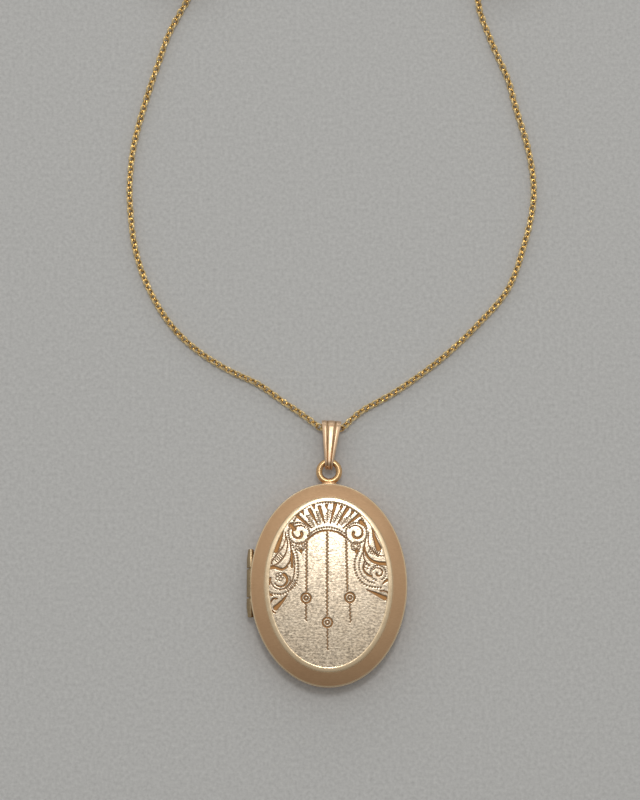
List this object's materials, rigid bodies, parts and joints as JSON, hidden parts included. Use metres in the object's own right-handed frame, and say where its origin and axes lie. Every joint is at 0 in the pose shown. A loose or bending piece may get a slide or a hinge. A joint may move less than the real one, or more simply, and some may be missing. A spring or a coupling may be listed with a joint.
{
  "type": "locket",
  "caption": "Oval hinged locket with an engraved front panel, a top ring, a tapered bail and a fine cable chain with a spring-ring clasp, lying closed on its back.",
  "frame": {"origin": "middle of the oval on the flat back face, which rests on the table", "axes": "+X to the right of the closed locket, +Y from the case towards its ring and bail, +Z out of the engraved front"},
  "size_m": [0.0642, 0.1202, 0.0049],
  "materials": {
    "front_satin": "satin rose gold-filled, matte engraved panel",
    "back_satin": "satin rose gold-filled",
    "polished": "polished gold-filled",
    "bail_metal": "satin gold-filled",
    "chain_metal": "polished yellow gold-filled",
    "spring_wire": "spring wire",
    "window": "clear acetate",
    "card": "blank uncoated card"
  },
  "bodies": {
    "chain": {"chain_left": "chain_metal", "chain_right": "chain_metal", "chain_coil_left": "chain_metal", "chain_coil_right": "chain_metal", "clasp_body": "chain_metal", "clasp_spring": "spring_wire", "clasp_eye": "chain_metal", "end_ring": "chain_metal"},
    "clasp_tongue": {"clasp_tongue": "chain_metal"},
    "bail": {"bail": "bail_metal"},
    "back": {"back_cover": "back_satin", "back_rim": "polished", "back_frame": "polished", "back_window": "window", "back_card": "card", "top_ring": "polished", "ring_seat": "polished", "hinge_pin": "polished", "hinge_knuckle_upper": "polished", "hinge_knuckle_lower": "polished"},
    "front": {"front_cover": "front_satin", "front_rim": "polished", "front_frame": "polished", "front_window": "window", "front_card": "card", "hinge_knuckle_middle": "polished"}
  },
  "joints": [
    {"name": "bail_swing", "type": "hinge", "parent": "chain", "child": "bail", "pos_m": [0.00043, 0.02352, 0.0013], "axis": [-0.998, 0.0628, 0], "range_deg": [-90, 90]},
    {"name": "locket_swing", "type": "hinge", "parent": "bail", "child": "back", "pos_m": [0.0001, 0.01849, 0.0017], "axis": [-1, 0, 0], "range_deg": [-90, 90]},
    {"name": "cover_hinge", "type": "hinge", "parent": "back", "child": "front", "pos_m": [-0.0115, 0.0003, 0.0022], "axis": [0, -1, 0], "range_deg": [0, 170]},
    {"name": "clasp_trigger", "type": "hinge", "parent": "chain", "child": "clasp_tongue", "pos_m": [-0.01277, 0.10216, 0.00055], "axis": [0, 0, 1], "range_deg": [0, 50], "stiffness_Nm_per_rad": 0.001, "springref_deg": -22.92, "deforming": ["clasp_spring"]}
  ]
}
